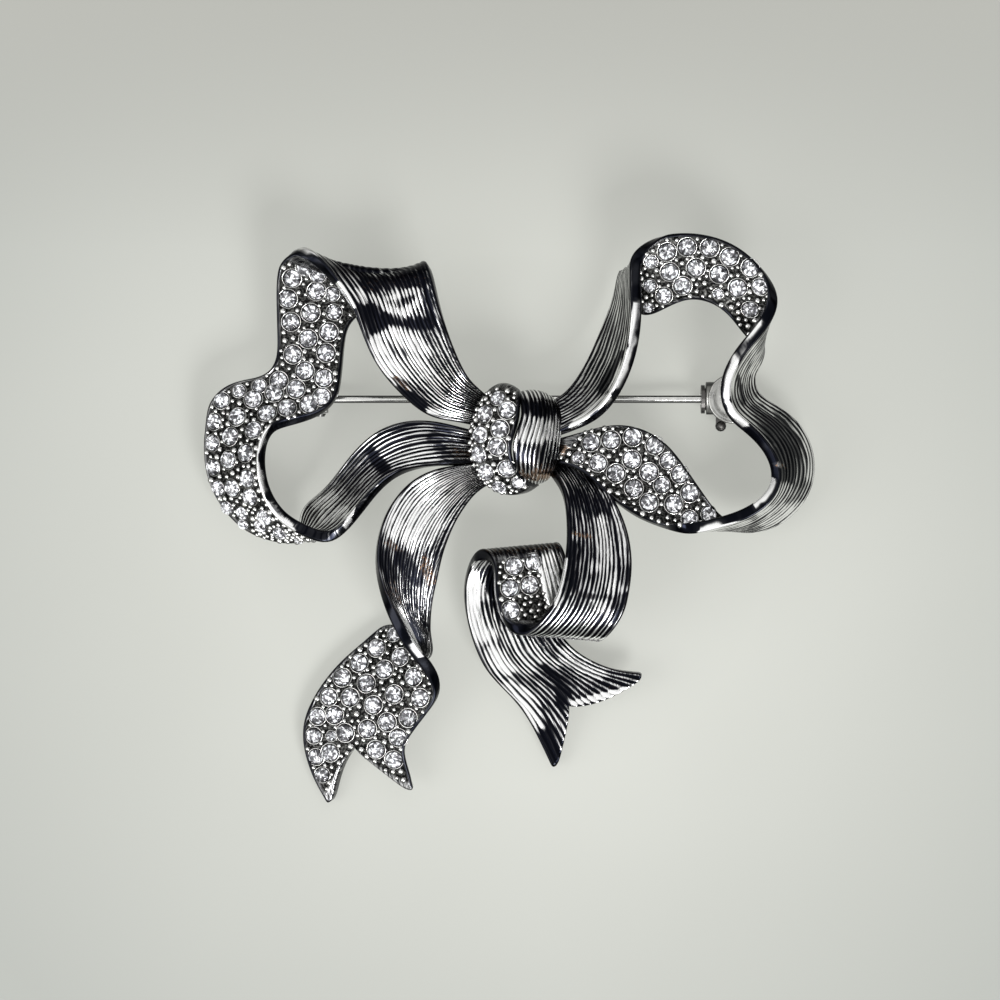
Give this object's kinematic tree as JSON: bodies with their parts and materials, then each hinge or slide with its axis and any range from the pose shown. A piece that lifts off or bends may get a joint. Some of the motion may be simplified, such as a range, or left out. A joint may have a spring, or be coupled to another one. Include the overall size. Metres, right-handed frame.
{
  "type": "bow brooch",
  "caption": "Ribbon bow brooch with engraved and stone-set faces, a domed knot, two notched tails and a hinged pin with a turning safety catch.",
  "frame": {"origin": "middle of the bow's outline on the plane that its back rests on", "axes": "+Z out of the brooch's face, +Y to the top of the bow, +X to its right as seen from the front"},
  "size_m": [0.0678, 0.0628, 0.0119],
  "materials": {
    "bright_silver": "bright rhodium plate with blackened recesses",
    "clear_crystal": "clear foiled stones in a darkened bed",
    "pin_steel": "drawn wire"
  },
  "bodies": {
    "bow": {"bow_casting": "bright_silver", "left_loop_pave": "clear_crystal", "right_loop_top_pave": "clear_crystal", "right_loop_lower_pave": "clear_crystal", "knot_pave": "clear_crystal", "left_tail_pave": "clear_crystal", "curl_pave": "clear_crystal", "hinge_rivet": "pin_steel"},
    "pin": {"pin_stem": "pin_steel"},
    "catch": {"catch_sleeve": "bright_silver"}
  },
  "joints": [
    {"name": "pin_swing", "type": "hinge", "parent": "bow", "child": "pin", "pos_m": [-0.02123, 0.01327, 0.0017], "axis": [0, 1, 0], "range_deg": [0, 80]},
    {"name": "catch_roll", "type": "hinge", "parent": "bow", "child": "catch", "pos_m": [0.02344, 0.01327, 0.0017], "axis": [1, 0, 0], "range_deg": [0, 100]}
  ]
}
